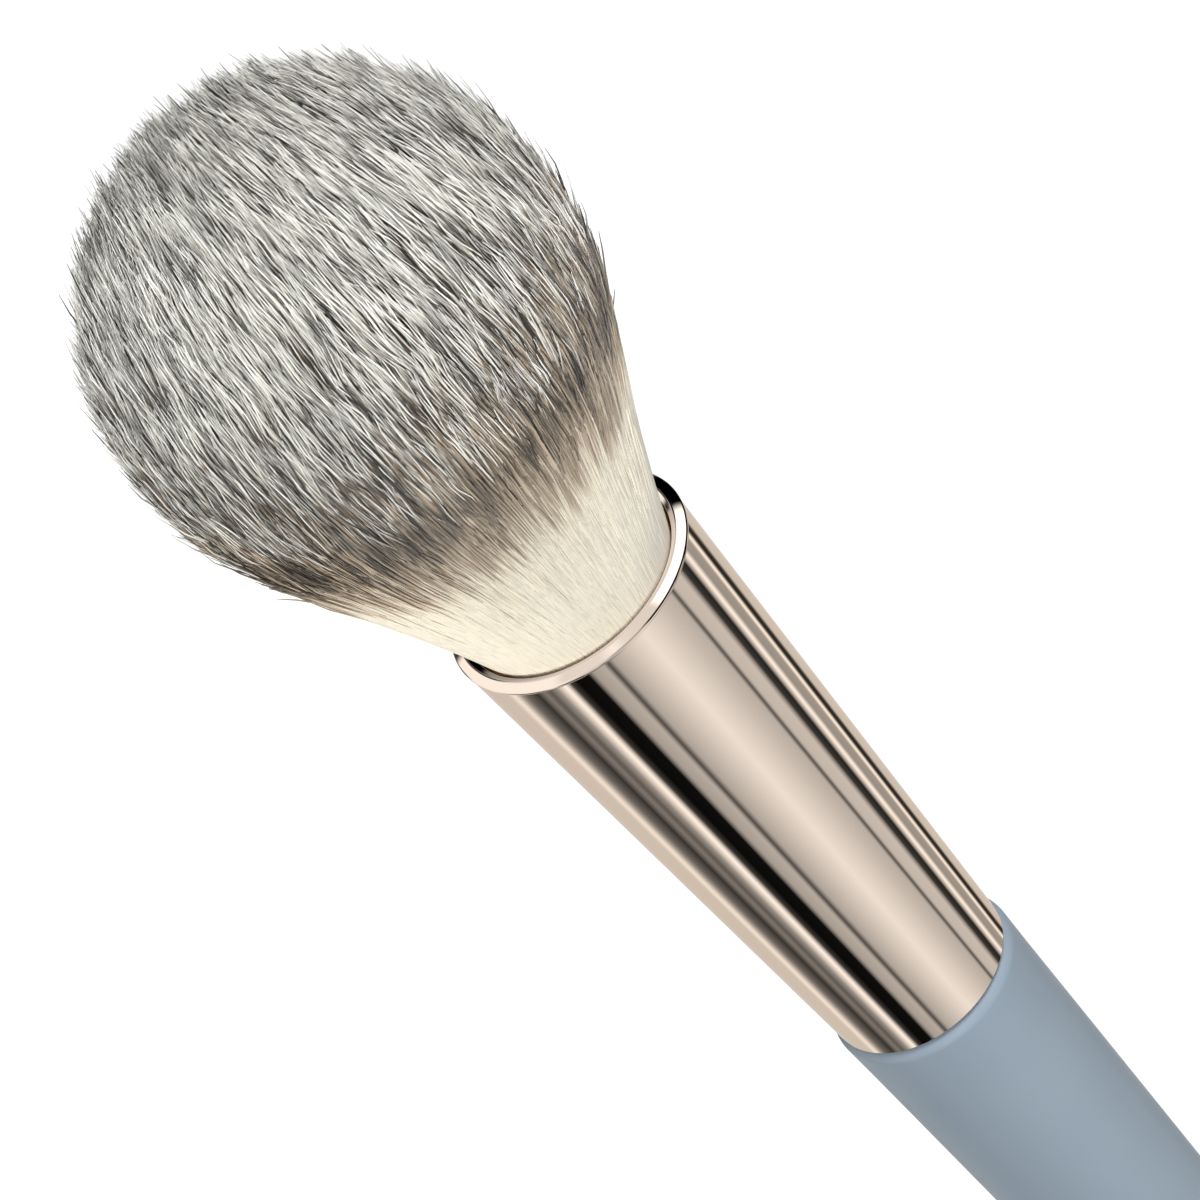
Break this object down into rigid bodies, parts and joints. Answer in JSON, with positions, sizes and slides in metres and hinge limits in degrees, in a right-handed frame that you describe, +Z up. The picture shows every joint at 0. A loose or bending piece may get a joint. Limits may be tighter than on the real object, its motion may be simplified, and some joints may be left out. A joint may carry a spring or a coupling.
{
  "type": "powder brush",
  "caption": "Powder brush with a full domed bristle head, a tapered metal ferrule with a rolled lip, and a slim tapered round handle, lying on its side.",
  "frame": {"origin": "on the table under the middle of the brush, which lies on its side on the full round of its head and the end of its handle", "axes": "+X towards the bristle head, +Z up, +Y across the brush; the brush's own axis lies in the XZ plane and rises about 4 degrees towards the head"},
  "size_m": [0.1964, 0.0362, 0.0359],
  "materials": {
    "handle_lacquer": "smooth semi-gloss blue-grey lacquer",
    "ferrule_metal": "polished, pale champagne",
    "setting_resin": "clear amber resin",
    "glue": "hardened glue",
    "bristle_fibre": "fine soft fibre, cream at the root, taupe and grey above, pale at the point"
  },
  "bodies": {
    "root": {"handle": "handle_lacquer", "ferrule": "ferrule_metal", "knot_resin": "setting_resin", "handle_glue": "glue", "bristle_tuft_1": "bristle_fibre", "bristle_tuft_2": "bristle_fibre", "bristle_tuft_3": "bristle_fibre", "bristle_tuft_4": "bristle_fibre", "bristle_tuft_5": "bristle_fibre", "bristle_tuft_6": "bristle_fibre"}
  },
  "joints": []
}
